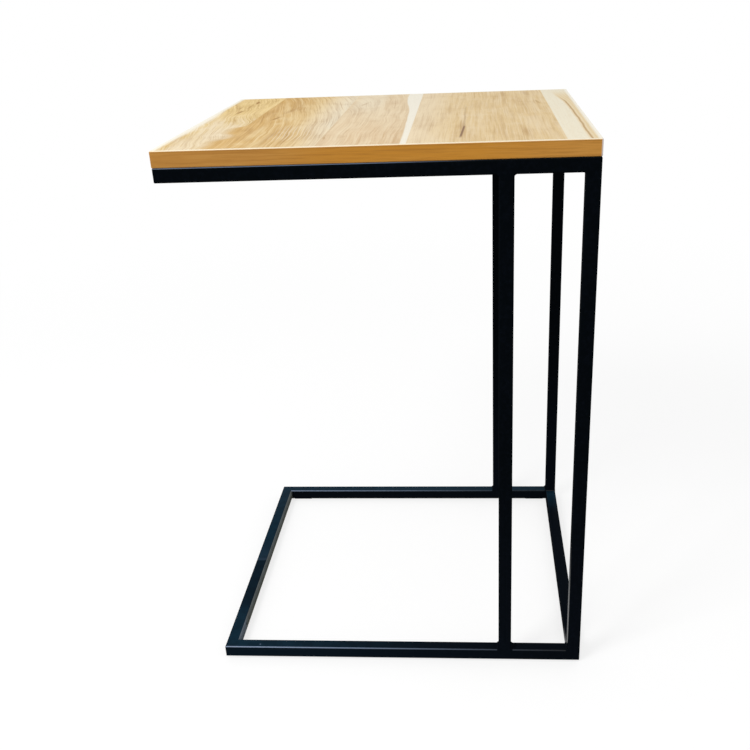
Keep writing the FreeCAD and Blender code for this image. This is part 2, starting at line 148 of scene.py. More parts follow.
class OakDecorSettings(bpy.types.PropertyGroup):
    """The printed oak planks on the board's upper face."""

    print_length: length("Print length", "Length of the print that is fitted to the board", 478)
    print_depth: length("Print depth", "Depth of the print that is fitted to the board", 428)
    first_joint: length("First joint", "Honey plank's right edge, from the open end", 68.5)
    second_joint: length("Second joint", "Amber plank's right edge, from the open end", 177.5)
    third_joint: length("Third joint", "Rose plank's right edge, from the open end", 274.2)
    fourth_joint: length("Fourth joint", "Straight plank's right edge, from the open end", 442.6)
    pale_strip: length("Pale strip", "Width of the sapwood strip at the post end", 24)
    honey: colour("Honey plank", "Yellow tan of the plank at the open end", 222, 194, 134)
    honey_light: colour("Honey plank, light", "Its pale near part", 234, 218, 188)
    honey_grain: colour("Honey plank, grain", "Light grain in its far part", 238, 212, 156)
    amber: colour("Amber plank", "Darkest plank, at its left", 209, 171, 108)
    amber_light: colour("Amber plank, light", "Its right side", 230, 206, 158)
    amber_grain: colour("Amber plank, grain", "Light grain at its left", 221, 188, 132)
    rose: colour("Rose plank", "Pinkish tan of the third plank", 219, 192, 154)
    rose_light: colour("Rose plank, light", "Its light grain and its far part", 235, 219, 188)
    straight: colour("Straight plank", "Tan of the fourth plank", 223, 197, 150)
    straight_light: colour("Straight plank, light", "Its light grain and left side", 233, 215, 183)
    sapwood: colour("Sapwood", "Pale wood of the strip and the lit streaks", 236, 228, 206)
    wedge: colour("Sapwood wedge", "Whitest wood, beside the third joint", 240, 236, 222)
    edge_wood: colour("Edge wood", "Tan wood beyond the sapwood strip", 226, 205, 164)
    heart: colour("Dark grain", "Late wood lines and knots", 160, 116, 62)
    mineral: colour("Mineral streak", "Grey brown streak in the straight plank", 128, 98, 78)
    # Pale rubbed edges of the sheet, with a painted highlight.
    rim: colour("Rubbed rim", "Pale rim where the sheet's edges are rubbed", 243, 240, 228)
    grain_strength: share("Grain strength", "How far grain departs from a plank's colour", 0.8)
    pore_depth: length("Pore depth", "Depth of the pressed pores", 0.05)


class EdgeBandSettings(bpy.types.PropertyGroup):
    """The narrow bands glued round the board."""

    face: colour("Band face", "Orange brown of the band's print", 199, 141, 66)
    light: colour("Band face, light", "Lighter streaks of the print", 212, 158, 82)
    line: colour("Band grain", "Darker lines of the print", 166, 110, 42)
    # Painted light: the band is laid lighter towards the post end, away from the lamp.
    warm: colour("Band face, warm", "Lighter print towards the post end", 232, 163, 68)
    deep: colour("Band face, deep", "Deeper orange print in the middle", 212, 139, 4)
    # Pale cut plastic with a painted highlight, on the upper arris.
    trimmed_highlight: colour("Trimmed_and_lit arris", "Cream plastic of the upper arris", 243, 226, 194)
    trimmed_under: colour("Lower arris", "Plastic of the lower arris", 214, 156, 78)
    # Painted highlight on the upright arris at the post end.
    end_arris_highlight: colour("Upright arris", "Plastic of the arris at the post end", 236, 222, 214)


class BoardInsideSettings(bpy.types.PropertyGroup):
    """The chipboard core and the balancing sheet under it."""

    chip_dark: colour("Chips, dark", "Darker wood chips", 178, 146, 104)
    chip_light: colour("Chips, light", "Lighter wood chips", 214, 188, 148)
    chip_gap: colour("Chip gaps", "Bark and shade between the chips", 120, 88, 56)
    sheet: colour("Balancing sheet", "Warm grey of the sheet", 214, 205, 190)
    sheet_fibre: colour("Sheet's fibres", "Faint fibres in the sheet", 198, 187, 170)
    sheet_cloud: colour("Sheet's clouds", "Paler clouds in the sheet", 224, 217, 204)
    sheet_scuff: colour("Sheet's scuffs", "Marks from handling", 170, 160, 144)


class FramePaintSettings(bpy.types.PropertyGroup):
    """The powder coat on the tubes."""

    body: colour("Paint", "Blue black of the coat", 5, 9, 13)
    rubbed: colour("Rubbed paint", "Places where the coat is thin and polished", 26, 31, 44)
    # Painted reflection: a bluish sheen laid on the base's upward faces.
    dust: colour("Top_reflection", "Bluish film on the upward faces of the base", 20, 42, 56)
    # Painted highlight on the near upper arrises; also the colour of a chip and of a painted light
    # strip.
    scuff_and_highlight: colour("Scuffed_and_lit arris", "Arrises polished by feet and cloths", 128, 146, 174)
    # Painted reflection of the floor on the base's inward faces.
    floor_reflection: colour("Floor dust", "Grey film inside the base ring", 118, 124, 124)
    floor_reflection_low: colour("Floor dust, low", "Browner film next to the floor", 92, 92, 76)
    sheen: share("Roughness", "Roughness of the coat on the flats", 0.42)
    rubbed_sheen: share("Rubbed roughness", "Roughness of the coat on the arrises", 0.26)
    peel_depth: length("Orange peel", "Height of the coat's texture", 0.03)
    bead_depth: length("Weld ripple", "Height of a weld's ripples under the coat", 0.15)


class FixingSettings(bpy.types.PropertyGroup):
    """The four screws that hold the board."""

    head_radius: length("Head radius", "Radius of the pan head", 4)
    head_height: length("Head height", "Height of the pan head", 2.4)
    recess_span: length("Recess span", "Width across the cross recess", 4.6)
    recess_width: length("Recess width", "Width of one arm of the cross recess", 1.1)
    recess_depth: length("Recess depth", "Depth of the cross recess", 1.5)
    shank_radius: length("Shank radius", "Radius of the thread's root", 1.5)
    thread_radius: length("Thread radius", "Radius over the thread", 2)
    thread_pitch: length("Thread pitch", "Distance from turn to turn", 1.8)
    zinc: colour("Zinc", "Bright zinc plate", 196, 196, 190)
    dull_zinc: colour("Dull zinc", "Zinc plate dulled by handling", 138, 136, 128)
    seed: bpy.props.IntProperty(
        name="Seed", description="Chooses how far each screw is turned", default=7
    )


class PadSettings(bpy.types.PropertyGroup):
    """The stick-on pads under the base."""

    soft_edge: length("Soft edge", "Rounding of a pad's edges", 0.5)
    body: colour("Pad", "Dark grey of the pad", 44, 44, 46)
    fleck: colour("Fleck", "Lighter flecks in the pad", 92, 92, 94)


class StageSettings(bpy.types.PropertyGroup):
    """Camera, lamp, floor and world."""

    camera_place: bpy.props.FloatVectorProperty(
        name="Camera place", description="Where the camera stands", size=3, subtype="TRANSLATION",
        unit="LENGTH", default=(0.10669, -1.16629, 0.83034),
    )
    camera_turn: bpy.props.FloatVectorProperty(
        name="Camera turn", description="Camera's turn about X, Y and Z", size=3, subtype="EULER",
        unit="ROTATION", default=tuple(math.radians(a) for a in (65.5751, 2.2043, 3.5806)),
    )
    lens: number("Lens", "Focal length for a 36 mm sensor", 44.076, unit="CAMERA")
    shift_across: number("Shift across", "Camera's shift in X, in frame widths", -0.04867)
    shift_up: number("Shift up", "Camera's shift in Y, in frame widths", 0.018)
    key_power: number("Key power", "Power of the soft key lamp", 22, unit="POWER")
    sky_level: share("Sky level", "Strength of the soft light from all round", 0.74)
    floor_tone: share("Floor tone", "Grey of the floor's own colour", 0.3)
    floor_light: share("Floor light", "How brightly lamp and sky light the open floor", 0.9)


# ---------------- nodes


class Value:
    """A node's output socket; as a number, its arithmetic adds Math nodes."""

    def __init__(self, nodes, socket):
        self.nodes = nodes
        self.socket = socket

    def maths(self, operation, *terms):
        return self.nodes.node("ShaderNodeMath", dict(enumerate(terms)), operation=operation)

    def __add__(self, other):
        return self.maths("ADD", self, other)

    __radd__ = __add__

    def __sub__(self, other):
        return self.maths("SUBTRACT", self, other)

    def __rsub__(self, other):
        return self.maths("SUBTRACT", other, self)

    def __mul__(self, other):
        return self.maths("MULTIPLY", self, other)

    __rmul__ = __mul__

    def __truediv__(self, other):
        return self.maths("DIVIDE", self, other)

    def __pow__(self, other):
        return self.maths("POWER", self, other)

    def __abs__(self):
        return self.maths("ABSOLUTE", self)

    def least(self, other):
        return self.maths("MINIMUM", self, other)

    def most(self, other):
        return self.maths("MAXIMUM", self, other)

    def root(self):
        return self.maths("SQRT", self)

    def sine(self):
        return self.maths("SINE", self)

    def rise(self, low, high):
        """0 below low and 1 above high, smooth between; it falls where low is above high."""
        return self.nodes.node(
            "ShaderNodeMapRange", {"Value": self, "From Min": low, "From Max": high},
            interpolation_type="SMOOTHSTEP",
        )

    def band(self, centre, half_width, blur):
        """1 within half_width of centre, fading out over blur."""
        return abs(self - centre).rise(half_width + blur, half_width)


def distance(place, spot):
    """How far a place, given as three Values, is from a fixed spot."""
    x, y, z = (axis - at for axis, at in zip(place, spot))
    return (x * x + y * y + z * z).root()


class Nodes:
    """A node tree being built, with its nodes added by one method."""

    def __init__(self, tree):
        self.tree = tree
        tree.nodes.clear()

    def node(self, kind, inputs=None, output=0, **settings):
        """Adds a node, gives it its settings, then its inputs' values or links."""
        made = self.tree.nodes.new(kind)
        for name, setting in settings.items():
            setattr(made, name, setting)
        for key, given in (inputs or {}).items():
            if isinstance(given, Value):
                self.tree.links.new(given.socket, made.inputs[key])
            else:
                made.inputs[key].default_value = given
        return Value(self, made.outputs[output]) if len(made.outputs) else None


class Finish(Nodes):
    """The nodes of a material or a world; a material's tint is laid on colour by colour."""

    def __init__(self, owner):
        owner.use_nodes = True
        super().__init__(owner.node_tree)
        self.owner = owner
        self.tint = None

    def coordinates(self, kind):
        """One kind of texture coordinates, as three numbers."""
        where = self.node("ShaderNodeTexCoord", output=kind)
        return [self.node("ShaderNodeSeparateXYZ", {0: where}, output=axis) for axis in "XYZ"]

    def place(self):
        """Object coordinates, in millimetres."""
        return [axis * (1 / MM) for axis in self.coordinates("Object")]

    def facing(self):
        """The surface's direction in the object's own axes, from -1 to 1."""
        return self.coordinates("Normal")

    def arris(self, low=0.985, high=0.86):
        """1 on rounded or cut arrises, where the surface faces none of the three axes."""
        x, y, z = self.facing()
        return abs(x).most(abs(y)).most(abs(z)).rise(low, high)

    def noise(self, x, y, z, detail=2.0, rough=0.5):
        """Fractal noise from 0 to 1, one lump for each unit of x, y and z.

        A fixed z takes one slice of the noise, so that patterns differ from each other.
        """
        where = self.node("ShaderNodeCombineXYZ", {0: x, 1: y, 2: z})
        return self.node(
            "ShaderNodeTexNoise",
            {"Vector": where, "Scale": 1.0, "Detail": detail, "Roughness": rough},
        )

    def lumps(self, place, size, **looks):
        """Noise with lumps of one size, in millimetres, in every direction."""
        return self.noise(*(axis / size for axis in place), **looks)

    def mix(self, mask, first, second):
        """The first colour where mask is 0, the second where it is 1."""
        inputs = {0: mask}
        for key, tint in ((6, first), (7, second)):
            inputs[key] = tint if isinstance(tint, Value) else (*tint, 1.0)
        return self.node("ShaderNodeMix", inputs, output=2, data_type="RGBA")

    def lay(self, mask, tint):
        """Lays a colour over the tint so far, as thickly as mask says."""
        self.tint = self.mix(mask, self.tint, tint)

    def bump(self, height, depth, under=None):
        """A normal raised by height, whose full range stands depth metres high."""
        inputs = {"Height": height, "Distance": depth}
        if under is not None:
            inputs["Normal"] = under
        return self.node("ShaderNodeBump", inputs)

    def close(self, rough, normal, **others):
        """Ends the material in a Principled shader; others are its further sockets."""
        inputs = {"Base Color": self.tint, "Roughness": rough, "Normal": normal}
        for name, given in others.items():
            inputs[name.replace("_", " ")] = given
        shader = self.node("ShaderNodeBsdfPrincipled", inputs)
        self.node("ShaderNodeOutputMaterial", {"Surface": shader})
        return self.owner


def new_finish(name):
    """An empty material, ready for its nodes."""
    return Finish(bpy.data.materials.new(name))


# ---------------- the board's finishes


class OakPrint:
    """The printed planks, laid on layer by layer.

    Places are in millimetres on the print: across it from the open end, and along it, with
    the planks, from the near edge.
    """

    def __init__(self, decor):
        self.decor = decor
        self.finish = new_finish("oak_decor")
        x, y, _ = self.finish.place()
        fit_across = decor.print_length / (BOARD_HIGH.x - BOARD_LOW.x)
        fit_along = decor.print_depth / (BOARD_HIGH.y - BOARD_LOW.y)
        self.across = (x - BOARD_LOW.x / MM) * fit_across
        self.along = (y - BOARD_LOW.y / MM) * fit_along
        self.wander = self.finish.noise(self.across / 70, self.along / 110, 3.1, detail=3) - 0.5
        self.find_joints()
        self.draw_grain()

    def material(self):
        """The finished material: every layer in order, then pressed pores and a thin lacquer."""
        self.lay_planks()
        self.lay_grain()
        self.lay_wedge()
        self.lay_knots()
        self.lay_mineral_streak()
        self.lay_seam()
        self.lay_strip()
        self.finish.lay(self.pores * 0.16, self.decor.heart)
        self.lay_rim_glare()
        return self.finish.close(
            0.40 + self.year * 0.08 + self.pores * 0.12,
            self.finish.bump(1 - self.pores, self.decor.pore_depth),
            Specular_IOR_Level=0.0, Coat_Weight=0.12, Coat_Roughness=0.35,
        )

    def find_joints(self):
        """The joints, and a mask for the planks beyond each."""
        decor, across, along = self.decor, self.across, self.along
        # The first joint strays and blurs near the near edge, where sapwood borders it.
        bulge = along.band(125, 14, 26) * 12
        bay = along.rise(74, 48) * 14
        blur = 0.6 + along.rise(170, 130) * 8
        self.first = decor.first_joint / MM - bulge - bay
        self.in_amber = ((across - self.first + self.wander * 3) / blur).rise(-1, 1)
        self.second = decor.second_joint / MM
        self.in_rose = across.rise(self.second - 0.5, self.second + 0.5)
        third_lean, fourth_lean = 0.0062, 0.0035
        third = decor.third_joint / MM - along * third_lean
        self.in_straight = (across - third).rise(-0.4, 0.4)
        self.fourth = decor.fourth_joint / MM - along * fourth_lean
        self.in_strip = (across - self.fourth).rise(-0.4, 0.4)

    def draw_grain(self):
        """The grain's lines, which follow each plank's flow: slanted, curved, arched, straight.

        A flow's last number keeps its plank's pattern apart from the others.
        """
        across, along, wander, noise = self.across, self.along, self.wander, self.finish.noise
        honey_flow = across + along * 0.16 + wander * 30
        self.amber_flow = across + along * along * 0.00030 + wander * 12 + 300
        from_heart = across - 166
        arch = (along - 205).most(0) * 0.22
        rose_flow = (from_heart * from_heart + arch * arch).root() + wander * 12 + 700
        straight_flow = across + wander * 5 + 1200
        flow = honey_flow
        for inside, next_flow in (
            (self.in_amber, self.amber_flow),
            (self.in_rose, rose_flow),
            (self.in_straight, straight_flow),
        ):
            flow = flow + inside * (next_flow - flow)

        # Broad bands, year lines, fine lines, hair lines and pores, each finer than the last.
        self.broad = noise(flow / 24, along / 170, 1.7)
        self.year = noise(flow / 8, along / 190, 5.2, rough=0.55)
        self.fine = noise(flow / 2.6, along / 120, 3.9, rough=0.6)
        self.hair = noise(flow / 1.1, along / 90, 8.8, rough=0.6)
        self.cloud = noise(across / 30, along / 45, 6.1, detail=3, rough=0.6)
        self.pores = noise(flow / 0.55, along / 9, 2.3, detail=1).rise(0.62, 0.74)

    def lay_planks(self):
        """Each plank's colour, and beside it the light colour of its grain."""
        decor, across, along, wander = self.decor, self.across, self.along, self.wander
        mix = self.finish.mix
        paler = along.rise(250, 90) * (0.55 + wander * 1.6).least(1).most(0)
        honey = mix(paler * across.rise(8, 26), decor.honey, decor.honey_light)
        honey_grain = mix(along.rise(170, 290), decor.honey_light, decor.honey_grain)

        fade = (across + wander * 60 - along.rise(180, 40) * 14).rise(90, 168)
        pale_side = (across - along.rise(150, 60) * 18).rise(126, 164)
        lit_edge = across.rise(156, 172) * along.rise(20, 140) * 0.6
        amber = mix(fade, decor.amber, decor.amber_light)
        amber = mix(pale_side * 0.95, amber, decor.rose_light)
        amber = mix(lit_edge, amber, decor.sapwood)
        amber_grain = mix(across.rise(70, 100), decor.amber_grain, decor.amber_light)
        amber_grain = mix(pale_side, amber_grain, decor.rose_light)

        far_streaks = across.band(202, 12, 16) * along.rise(190, 330)
        rose = mix(along.rise(20, 230) * 0.5, decor.rose, decor.rose_light)
        rose = mix(far_streaks * 0.5, rose, decor.sapwood)
        straight = mix(across.rise(325, 280) * 0.9, decor.straight, decor.straight_light)

        tint = mix(self.in_amber, honey, amber)
        tint = mix(self.in_rose, tint, rose)
        self.finish.tint = mix(self.in_straight, tint, straight)
        light = mix(self.in_amber, honey_grain, amber_grain)
        light = mix(self.in_rose, light, decor.rose_light)
        self.light = mix(self.in_straight, light, decor.straight_light)

    def lay_grain(self):
        """Light and dark grain over the planks, and the figure in the amber plank."""
        decor, across, along, lay = self.decor, self.across, self.along, self.finish.lay
        strength = decor.grain_strength * (1 - self.in_rose * 0.4)
        layers = (self.broad, self.cloud, self.year, self.fine, self.hair)
        for lines, weight in zip(layers, (0.7, 0.7, 0.7, 0.9, 0.7)):
            lay(lines.rise(0.50, 0.30) * strength * weight, self.light)
            lay(lines.rise(0.50, 0.75) * strength * weight * 0.5, decor.heart)
        ripple = (self.amber_flow * 1.35 + self.year * 7).sine().rise(0.1, 0.9)
        ripple = ripple * along.band(92, 34, 30) * across.band(145, 18, 20)
        lay(ripple * 0.6, decor.honey_light)
        lit_joint = (across - self.first).band(-3.5, 1.5, 2.5) * along.rise(230, 330)
        lay(lit_joint * 0.6, decor.honey_grain)

    def lay_wedge(self):
        """A wedge of sapwood that closes the rose plank and widens towards the far edge."""
        near_end, lean, flare = 268, 5.5, 10.5
        left = near_end - self.along.rise(0, 260) * lean - self.along.rise(230, 385) * flare
        left = left + (self.year - 0.5) * 4
        wedge = (self.across - left).rise(-1.2, 0.8) * (1 - self.in_straight)
        self.finish.lay(wedge * (0.96 - self.fine * 0.14), self.decor.wedge)

    def lay_knots(self):
        """Knots and flecks, each an ellipse that fades out."""
        for centre, station, half_width, half_length, lean, strength in KNOTS:
            beyond = self.along - station
            off = self.across - centre + beyond * lean + self.wander * 4
            reach = ((off / half_width) ** 2 + (beyond / half_length) ** 2).root()
            self.finish.lay(reach.rise(1.0, 0.2) * strength, self.decor.heart)

    def lay_mineral_streak(self):
        """A thin grey line in the straight plank, which bends and darkens in its near part."""
        streak, bend, slope = 334.6, 107, 0.045
        off = self.across - streak - (self.along - bend).least(0) * slope + self.wander * 2
        faint = off.band(0, 0.5, 1.4) * self.along.band(165, 80, 60) * 0.22
        dark = off.band(0, 0.7, 1.0) * self.along.band(72, 28, 20) * 0.85
        self.finish.lay(faint.most(dark), self.decor.mineral)

    def lay_seam(self):
        """The second joint's faint shade, in its near part."""
        seam = self.across.band(self.second + 1, 0.5, 1.5) * self.along.rise(330, 120)
        self.finish.lay(seam * 0.16, self.decor.heart)

    def lay_strip(self):
        """The sapwood strip at the post end, and the ringed edge wood beyond it."""
        decor, along, finish = self.decor, self.along, self.finish
        strip = finish.mix(self.fine.rise(0.35, 0.75) * 0.14, decor.sapwood, decor.straight)
        finish.lay(self.in_strip, strip)
        drift = finish.noise(self.across / 400, along / 60, 9.4) - 0.5
        strip_end = self.fourth + decor.pale_strip / MM - along.rise(250, 400) * 9 + drift * 5
        beyond = self.across - strip_end
        rings = (beyond * 1.5 + self.fine * 2).sine().rise(-0.2, 0.9) * 0.7
        edge_wood = finish.mix(rings, decor.edge_wood, decor.straight_light)
        finish.lay(beyond.rise(-2.0, 1.0) * along.rise(430, 330), edge_wood)
        finish.lay(beyond.band(2.0, 0.4, 1.4) * along.rise(360, 280) * 0.55, decor.heart)

    def lay_rim_glare(self):
        """The sheet's edges, rubbed pale and painted with a highlight, most of all along the open
        end.
        """
        to_post_end = self.decor.print_length / MM - self.across
        to_far_edge = self.decor.print_depth / MM - self.along
        rim = self.across.rise(8 + self.along.band(185, 50, 90) * 7, 1.5)
        rim = rim.most(to_post_end.rise(5.0, 1.0))
        rim = rim.most(self.along.rise(3.2, 0.8) * 0.8).most(to_far_edge.rise(3.5, 1.0))
        self.finish.lay(rim * 0.92, self.decor.rim)


def edge_band_finish(name, band, lengthwise):
    """Wood print along the band; the arrises cut in trimming are left pale, with a painted
    highlight on the upper and upright ones.
    """
    finish = new_finish(name)
    x, y, z = finish.place()
    up = finish.facing()[2]
    run = x if lengthwise else y
    from_top = z - BOARD_HIGH.z / MM

    # The print's streaks, which sway up and down along the band.
    sway = finish.noise(run / 160, z / 30, 0.7) - 0.5
    level = z + sway * 7
    year = finish.noise(run / 90, level / 2.0, 4.2, detail=3, rough=0.65)
    hair = finish.noise(run / 26, level / 0.6, 6.6)
    cloud = finish.noise(run / 60, level / 6, 1.1)
    finish.tint = finish.mix(cloud.rise(0.45, 0.75) * 0.5, band.face, band.light)
    # Painted light, lighter towards the post end.
    finish.lay(run.rise(-150, 230) * 0.42, band.warm)
    finish.lay(run.band(40, 60, 120) * 0.42, band.deep)
    finish.lay(year.rise(0.45, 0.75) * 0.5, band.line)
    finish.lay(year.rise(0.45, 0.25) * 0.5, band.light)
    finish.lay(hair.rise(0.50, 0.75) * 0.4, band.line)
    finish.lay(from_top.band(-1.9, 0.4, 0.4) * 0.3, band.line)

    # The arrises cut in trimming: above, below, and upright at the post end; the upper and upright
    # ones also carry a painted highlight.
    cut = finish.arris(0.99, 0.90)
    # Painted highlight with the pale plastic on the upper arris.
    upper = cut * from_top.rise(-1.1, -0.6)
    finish.lay(upper.most(up.rise(0.85, 0.95)), band.trimmed_highlight)
    finish.lay(up.rise(-0.3, -0.6), band.trimmed_under)
    if lengthwise:
        finish.lay(x.rise(LENGTH / 2 - 1.8, LENGTH / 2 - 1.0), band.end_arris_highlight)
    rough = 0.44 + hair * 0.12 - cut * 0.08
    return finish.close(rough, finish.bump(hair, 0.02 * MM), Specular_IOR_Level=0.2)


def chipboard_finish(inside):
    """Pressed wood chips."""
    finish = new_finish("chipboard_core")
    place = finish.place()
    x, y, z = place
    where = finish.node("ShaderNodeCombineXYZ", {0: x / 3.5, 1: y / 2.2, 2: z / 1.1})
    chips = finish.node("ShaderNodeTexVoronoi", {"Vector": where, "Scale": 1.0}, output="Color")
    tone = finish.node("ShaderNodeSeparateColor", {0: chips})
    gaps = finish.lumps(place, 1.2, detail=3).rise(0.6, 0.7)
    finish.tint = finish.mix(tone, inside.chip_dark, inside.chip_light)
    finish.lay(gaps * 0.5, inside.chip_gap)
    return finish.close(tone * 0.1 + 0.8, finish.bump(tone, 0.2 * MM))


def liner_finish(inside):
    """Warm grey balancing sheet with faint fibres, clouds and scuffs."""
    finish = new_finish("backing_sheet")
    x, y, z = finish.place()
    fibre = finish.noise(x / 1.6, y / 14, z, detail=3, rough=0.65)
    cloud = finish.noise(x / 45, y / 70, z, detail=3)
    scuff = finish.noise(x / 12, y / 9, 4.0, detail=4, rough=0.7).rise(0.62, 0.72)
    finish.tint = finish.mix(fibre.rise(0.3, 0.75) * 0.5, inside.sheet, inside.sheet_fibre)
    finish.lay(cloud.rise(0.4, 0.8) * 0.3, inside.sheet_cloud)
    finish.lay(scuff * 0.2, inside.sheet_scuff)
    return finish.close(0.55 + fibre * 0.15, finish.bump(fibre, 0.03 * MM))


# ---------------- the frame's finishes


def spot_on_frame(finish):
    """Where a point of the frame lies, in millimetres, and which way its surface faces.

    on_base is 1 on the base ring; towards_open is 1 at the open end and 0 at the other.
    """
    x, y, z = finish.place()
    side, front, up = finish.facing()
    from_open = x - OPEN_END
    return SimpleNamespace(
        place=(x, y, z), height=z, side=side, front=front, up=up,
        from_open=from_open, from_near=y - NEAR_SIDE,
        towards_open=from_open.rise(LENGTH, 0), on_base=z.rise(60, 30),
    )


def paint_base_reflections(finish, paint, spot):
    """Painted reflection on the base ring, strongest at the open end, with a darker stretch on the
    end rail.
    """
    dark_start, dark_end = 84, 198
    from_near = spot.from_near
    flat = spot.up.rise(0.85, 0.99)
    open_rail = spot.from_open.rise(35, 20)
    patch = finish.lumps(spot.place, 16, detail=3, rough=0.65)
    dark_stretch = from_near.rise(dark_start - 14, dark_start + 14)
    dark_stretch = dark_stretch * from_near.rise(dark_end + 1, dark_end - 1) * open_rail
    sheen_reach = (spot.towards_open * spot.towards_open).most(from_near.rise(330, 400))
    speckle = 0.75 + patch.rise(0.38, 0.62) * 0.3
    flat_sheen = flat * sheen_reach * speckle * (1 - dark_stretch * 0.55)
    face_sheen = spot.front.rise(-0.7, -0.95) * from_near.rise(60, 10) * spot.towards_open * 0.3
    finish.lay((flat_sheen + face_sheen).least(1) * spot.on_base, paint.dust)

    # A painted light strip just beyond the darker stretch, at the edge of the board's reflection.
    light_strip = from_near.rise(dark_end + 57, dark_end + 12) * 0.02
    light_strip = light_strip + from_near.rise(dark_end + 9, dark_end + 3) * 0.045
    light_strip = light_strip * from_near.rise(dark_end - 1, dark_end + 1) * flat * open_rail
    finish.lay(light_strip * spot.on_base, paint.scuff_and_highlight)

    # Painted reflection of the floor on the open end's inward faces, browner below and bluer at
    # the near corner.
    inward = spot.on_base * spot.side.rise(0.35, 0.7) * spot.from_open.rise(235, 135)
    painted_sheen = finish.mix(spot.height.rise(3, 14), paint.floor_reflection_low, paint.floor_reflection)
    painted_sheen = finish.mix(from_near.rise(65, 50) * 0.35, painted_sheen, paint.scuff_and_highlight)
    finish.lay(inward * (0.55 + patch * 0.6).least(1), painted_sheen)


def mark_paint(finish, paint, spot):
    """A drain hole stopped with paint in the open end's rail, and a chip near the near corner."""
    place = (spot.from_open, spot.from_near, spot.height)
    finish.lay(distance(place, DRAIN_HOLE).rise(2.6, 1.6) * 0.8, paint.body)
    finish.lay(distance(place, CHIPPED_SPOT).rise(1.4, 0.6) * 0.4, paint.scuff_and_highlight)


def paint_arris_highlights(finish, paint, spot):
    """A painted highlight on the arrises that face up and to the near side; gives back the coat's
    gloss.
    """
    up = spot.up
    # Painted highlight: these arrises are laid lighter, most on the base ring towards the open end
    # and on the top ring away from the post end.
    lit = up.rise(0.45, 0.65) * up.rise(0.99, 0.93) * spot.front.rise(-0.15, -0.35)
    top_ring = spot.height.rise(HEIGHT - 70, HEIGHT - 30) * spot.from_open.rise(365, 215)
    highlight_share = (spot.on_base * spot.towards_open * 0.85).most(top_ring * 0.62)
    finish.lay(lit * highlight_share, paint.scuff_and_highlight)

    # The near corner post's foot shines, and so do the base ring's far flats.
    post_foot = spot.side.rise(-0.7, -0.99) * spot.height.rise(190, 90)
    post_foot = post_foot * spot.from_open.rise(385, 435) * spot.from_near.rise(60, 20)
    far_flats = up.rise(0.8, 0.99) * spot.from_near.rise(270, 410)
    gloss = post_foot * 0.45 + 0.015 + far_flats * 0.05 + lit * (0.2 + spot.on_base * 0.3)
    return gloss.least(1)


def powder_coat_finish(name, paint, bead_depth=0.0):
    """Satin black powder coat; weld beads under it stand up by bead_depth."""
    finish = new_finish(name)
    spot = spot_on_frame(finish)
    peel = finish.lumps(spot.place, 0.9, rough=0.55)
    mottle = finish.lumps(spot.place, 4.5, detail=3, rough=0.6)
    cloud = finish.lumps(spot.place, 60)
    finish.tint = finish.mix(mottle.rise(0.40, 0.80) * 0.16, paint.body, paint.rubbed)
    finish.lay(cloud.rise(0.45, 0.75) * 0.25, paint.body)
    # The coat is laid lighter towards the floor.
    finish.lay(spot.height.rise(320, 20) * 0.14, paint.rubbed)
    paint_base_reflections(finish, paint, spot)
    mark_paint(finish, paint, spot)
    gloss = paint_arris_highlights(finish, paint, spot)

    rough = paint.sheen + (mottle - 0.5) * 0.16
    rough = rough + finish.arris() * (paint.rubbed_sheen - paint.sheen)
    normal = finish.bump(peel, paint.peel_depth)
    normal = finish.bump(mottle, paint.peel_depth * 1.5, normal)
    if bead_depth:
        x, y, z = spot.place
        ripples = ((x + y + z) * 3.1 + mottle * 3).sine() * 0.5 + 0.5
        normal = finish.bump(ripples, bead_depth, normal)
    return finish.close(
        rough, normal,
        Specular_IOR_Level=0.0, Coat_Weight=gloss, Coat_Roughness=paint.rubbed_sheen,
    )


def screw_steel_finish(fixing):
    """Zinc-plated steel, dulled in patches and scratched."""
    finish = new_finish("zinc_plate")
    place = finish.place()
    x, y, z = place
    grime = finish.lumps(place, 1.1, detail=4, rough=0.65)
    scratch = finish.noise(x / 0.25, y / 2.5, z / 0.25)
    finish.tint = finish.mix(grime.rise(0.4, 0.7) * 0.6, fixing.zinc, fixing.dull_zinc)
    rough = 0.28 + grime * 0.2 + scratch * 0.1
    return finish.close(rough, finish.bump(scratch, 0.01 * MM), Metallic=1.0)


def pad_finish(pad):
    """Dense dark foam with lighter flecks."""
    finish = new_finish("pad_foam")
    place = finish.place()
    cells = finish.lumps(place, 0.5, detail=3, rough=0.7)
    fleck = finish.lumps(place, 0.9, detail=1).rise(0.64, 0.70)
    finish.tint = finish.mix(fleck * 0.6, pad.body, pad.fleck)
    return finish.close(0.80 + cells * 0.15, finish.bump(cells, 0.12 * MM))


def dress(names, material):
    """Gives CAD nodes their finish."""
    for name in names:
        NODES[name].material_slots[0].material = material


# ---------------- modelled pieces


def turned(outline, segments):
    """A closed turned shape from (radius, height) points that start and end on the axis."""
    shape = bmesh.new()
    poles = [shape.verts.new((0, 0, outline[0][1])), shape.verts.new((0, 0, outline[-1][1]))]
    rings = []
    for radius, height in outline[1:-1]:
        ring = []
        for step in range(segments):
            angle = math.tau * step / segments
            place = (radius * math.cos(angle), radius * math.sin(angle), height)
            ring.append(shape.verts.new(place))
        rings.append(ring)
    for step in range(segments):
        after = (step + 1) % segments
        shape.faces.new((poles[0], rings[0][step], rings[0][after]))
        shape.faces.new((poles[1], rings[-1][after], rings[-1][step]))
        for low, high in zip(rings, rings[1:]):
            shape.faces.new((low[step], high[step], high[after], low[after]))
    bmesh.ops.recalc_face_normals(shape, faces=shape.faces)
    return shape


def place_in_scene(name, data):
    """A new object in the scene."""
    made = bpy.data.objects.new(name, data)
    bpy.context.scene.collection.objects.link(made)
    return made


def new_object(name, shape):
    """A mesh object from a bmesh, which is freed."""
    mesh = bpy.data.meshes.new(name)
    shape.to_mesh(mesh)
    shape.free()
    return place_in_scene(name, mesh)


